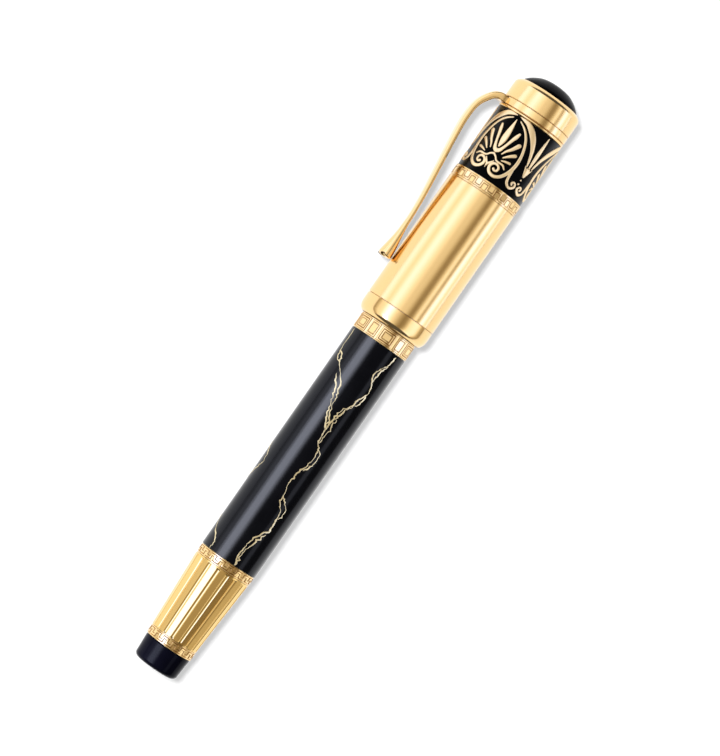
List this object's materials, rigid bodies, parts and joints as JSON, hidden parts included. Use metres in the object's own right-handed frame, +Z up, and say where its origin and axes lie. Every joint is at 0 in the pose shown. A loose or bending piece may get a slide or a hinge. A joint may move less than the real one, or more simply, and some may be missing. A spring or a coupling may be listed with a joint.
{
  "type": "rollerball pen",
  "caption": "Capped rollerball pen with a lacquered barrel, fluted tail sleeve, gold cap with an engraved band and a sprung clip; the cap pulls off and the refill comes out.",
  "frame": {"origin": "under the middle of the pen's bounding box, on the surface that the pen lies on", "axes": "+X along the pen towards its flat tail end, +Y away from the clip, +Z up; the pen lies on its side with the clip level"},
  "size_m": [0.14, 0.02, 0.0153],
  "materials": {
    "black_lacquer": "polished black lacquer",
    "veined_lacquer": "polished black lacquer with fine gold veins",
    "engraved_lacquer": "gold ornament in relief on a black lacquer ground",
    "black_resin": "polished black resin",
    "gold_plate": "polished gold plate on brass",
    "bare_brass": "turned, unplated",
    "spring_steel": "bright",
    "carbide": "polished tungsten carbide",
    "moulded_plastic": "moulded, satin",
    "refill_plastic": "moulded, satin",
    "ink_fibre": "ink-soaked fibre"
  },
  "bodies": {
    "barrel": {"barrel_shell": "veined_lacquer", "tail_finial": "black_lacquer", "tail_plug": "bare_brass", "tail_lower_key_ring": "gold_plate", "tail_fluted_sleeve": "gold_plate", "tail_upper_key_ring": "gold_plate", "barrel_liner": "bare_brass", "barrel_mouth_ring": "gold_plate", "barrel_thread_bush": "bare_brass", "refill_spring": "spring_steel"},
    "section": {"grip_section": "black_resin", "section_thread_collar": "bare_brass", "section_trim_ring": "gold_plate", "grip_end_ring": "gold_plate", "nose_cone": "gold_plate"},
    "refill": {"refill_tube": "refill_plastic", "refill_end_plug": "moulded_plastic", "refill_ink_core": "ink_fibre", "refill_feed_holder": "moulded_plastic", "refill_point": "spring_steel", "writing_ball": "carbide"},
    "cap": {"cap_body": "gold_plate", "cap_lip": "gold_plate", "cap_key_ring": "gold_plate", "engraved_sleeve": "engraved_lacquer", "cap_bead_ring": "gold_plate", "cap_liner": "bare_brass", "cap_clutch_ring": "moulded_plastic", "inner_seal_cup": "moulded_plastic", "clip_ring": "gold_plate", "clip_pivot_pin": "spring_steel", "clip_leaf_spring": "spring_steel", "cap_end_plug": "bare_brass", "crown_nut": "spring_steel", "crown_stud": "spring_steel", "crown": "gold_plate", "crown_dome": "black_lacquer"},
    "clip": {"clip_arm": "gold_plate"}
  },
  "joints": [
    {"name": "section_draw", "type": "slide", "parent": "barrel", "child": "section", "axis": [-1, 0, 0], "range_m": [0, 0.075]},
    {"name": "cap_pull", "type": "slide", "parent": "section", "child": "cap", "axis": [-1, 0, 0], "range_m": [0, 0.055]},
    {"name": "refill_press", "type": "slide", "parent": "section", "child": "refill", "axis": [1, 0, 0], "range_m": [0, 0.0008], "stiffness_N_per_m": 400, "springref_m": -0.002, "deforming": ["refill_spring"]},
    {"name": "clip_flex", "type": "hinge", "parent": "cap", "child": "clip", "pos_m": [-0.06181, -0.00406, 0.00767], "axis": [0, 0, -1], "range_deg": [0, 6], "stiffness_Nm_per_rad": 0.15, "springref_deg": -17.19, "deforming": ["clip_leaf_spring"]}
  ]
}
